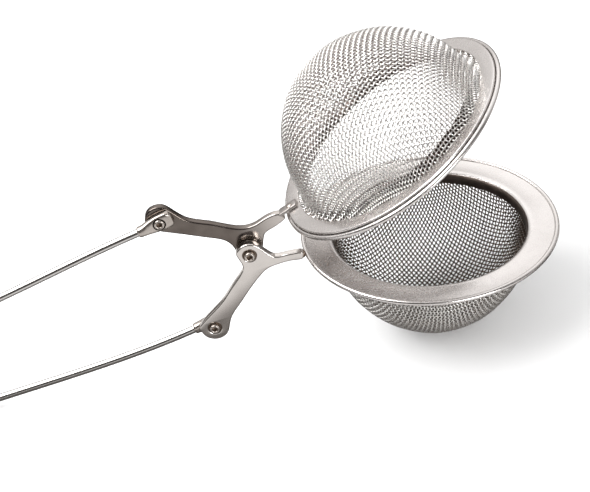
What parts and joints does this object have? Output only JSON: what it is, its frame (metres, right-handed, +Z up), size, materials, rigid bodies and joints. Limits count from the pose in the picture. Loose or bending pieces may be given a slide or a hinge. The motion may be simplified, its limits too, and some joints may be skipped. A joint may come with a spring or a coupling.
{
  "type": "tea infuser",
  "caption": "Squeeze-handle tea infuser: two woven steel bowls with flat rims on riveted levers, opened by pressing the legs of a bent wire handle together.",
  "frame": {"origin": "on the surface the infuser lies on, below the middle of its box, with the jaws open as at rest", "axes": "+X from the handle's bend towards the bowls, +Y along the main rivet away from the lower lever's side, +Z up"},
  "size_m": [0.1764, 0.064, 0.0815],
  "materials": {
    "woven_steel": "fine plain-woven stainless wire, bright",
    "polished_steel": "smooth rolled stainless sheet, semi-bright",
    "pressed_steel": "stamped stainless, satin faces with bright rounded edges",
    "spring_steel": "drawn stainless spring wire, bright"
  },
  "bodies": {
    "lower_half": {"lower_bowl": "woven_steel", "lower_rim_face": "polished_steel", "lower_rim_back": "polished_steel", "lower_lever": "pressed_steel", "main_rivet": "pressed_steel", "pivot_washer": "pressed_steel", "lower_handle_rivet": "pressed_steel"},
    "upper_half": {"upper_bowl": "woven_steel", "upper_rim_face": "polished_steel", "upper_rim_back": "polished_steel", "upper_lever": "pressed_steel", "foot_rivet": "pressed_steel", "upper_handle_rivet": "pressed_steel"},
    "lower_leg": {"lower_ferrule": "pressed_steel", "handle_wire_lower_leg": "spring_steel"},
    "upper_leg": {"upper_ferrule": "pressed_steel", "handle_wire_upper_leg": "spring_steel"}
  },
  "joints": [
    {"name": "jaw_pivot", "type": "hinge", "parent": "lower_half", "child": "upper_half", "pos_m": [0.01215, -0.0055, 0.03352], "axis": [0, 1, 0], "range_deg": [-6, 34]},
    {"name": "lower_handle_pivot", "type": "hinge", "parent": "lower_half", "child": "lower_leg", "pos_m": [-0.00097, -0.0055, 0.01391], "axis": [0, 1, 0], "range_deg": [-3.6, 20.4]},
    {"name": "bend_flex", "type": "hinge", "parent": "lower_leg", "child": "upper_leg", "pos_m": [-0.08703, -0.0051, 0.01205], "axis": [0, 1, 0], "range_deg": [-5.9, 1.1]}
  ],
  "couplings": [
    {"joint": "lower_handle_pivot", "follows": "jaw_pivot", "ratio": 0.5957},
    {"joint": "bend_flex", "follows": "jaw_pivot", "ratio": -0.1697}
  ]
}
